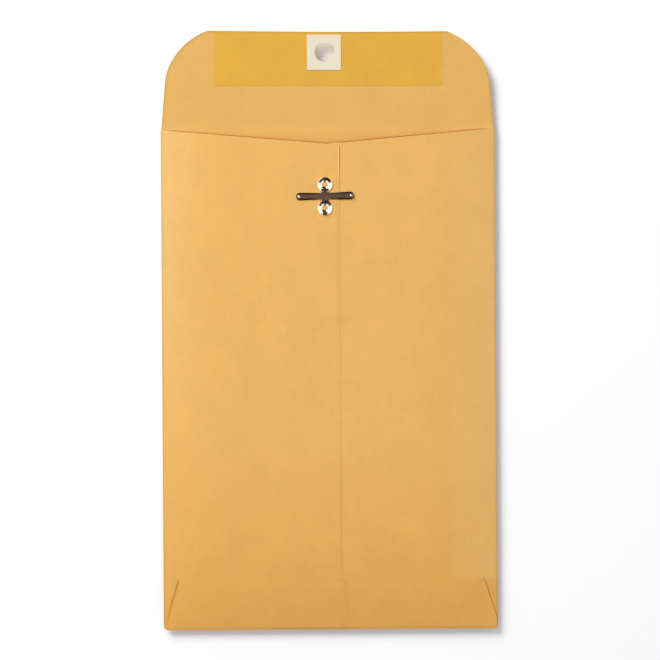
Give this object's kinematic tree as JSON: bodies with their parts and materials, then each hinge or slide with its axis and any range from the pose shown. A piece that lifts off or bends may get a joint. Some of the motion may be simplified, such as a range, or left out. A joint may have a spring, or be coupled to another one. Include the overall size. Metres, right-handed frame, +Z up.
{
  "type": "clasp envelope",
  "caption": "Kraft paper envelope lying flat with its seal flap open: a pocket with an overlapped centre seam, a gummed flap with a reinforced hole, and a clasp with bendable prongs.",
  "frame": {"origin": "under the middle of the whole open envelope, on the surface that it lies on", "axes": "+X to the envelope's right, +Y from the bottom fold to the seal flap, +Z up through the pocket to the clasp"},
  "size_m": [0.1524, 0.273, 0.0061],
  "materials": {
    "kraft_paper": "matte golden kraft",
    "dried_gum": "satin, dried remoistenable gum",
    "dried_glue": "dried paper glue",
    "tag_board": "matte cream",
    "dark_tinned_metal": "dull tinned metal with bright curved rims"
  },
  "bodies": {
    "pocket": {"back_panel": "kraft_paper", "left_side_panel": "kraft_paper", "right_side_panel": "kraft_paper", "bottom_flap": "kraft_paper", "seam_glue": "dried_glue", "bottom_glue_left": "dried_glue", "bottom_glue_right": "dried_glue", "clasp_base": "dark_tinned_metal", "eyelet_paper_upper": "kraft_paper", "eyelet_paper_lower": "kraft_paper"},
    "fold_strip": {"flap_fold_strip": "kraft_paper"},
    "flap": {"seal_flap": "kraft_paper", "flap_gum_strip": "dried_gum", "flap_hole_patch": "tag_board"},
    "prong_left": {"clasp_prong_left": "dark_tinned_metal"},
    "prong_right": {"clasp_prong_right": "dark_tinned_metal"}
  },
  "joints": [
    {"name": "flap_first_crease", "type": "hinge", "parent": "pocket", "child": "fold_strip", "pos_m": [0, 0.0921, 0.00256], "axis": [1, 0, 0], "range_deg": [-1.5, 88.5]},
    {"name": "flap_second_crease", "type": "hinge", "parent": "fold_strip", "child": "flap", "pos_m": [0, 0.09614, 0.00267], "axis": [1, 0, 0], "range_deg": [-1.5, 88.5]},
    {"name": "prong_left_bend", "type": "hinge", "parent": "pocket", "child": "prong_left", "pos_m": [-0.00341, 0.06115, 0.00552], "axis": [0, 1, 0], "range_deg": [0, 90]},
    {"name": "prong_right_bend", "type": "hinge", "parent": "pocket", "child": "prong_right", "pos_m": [0.00061, 0.06115, 0.00552], "axis": [0, -1, 0], "range_deg": [0, 90]}
  ],
  "couplings": [
    {"joint": "flap_second_crease", "follows": "flap_first_crease", "ratio": 1}
  ]
}
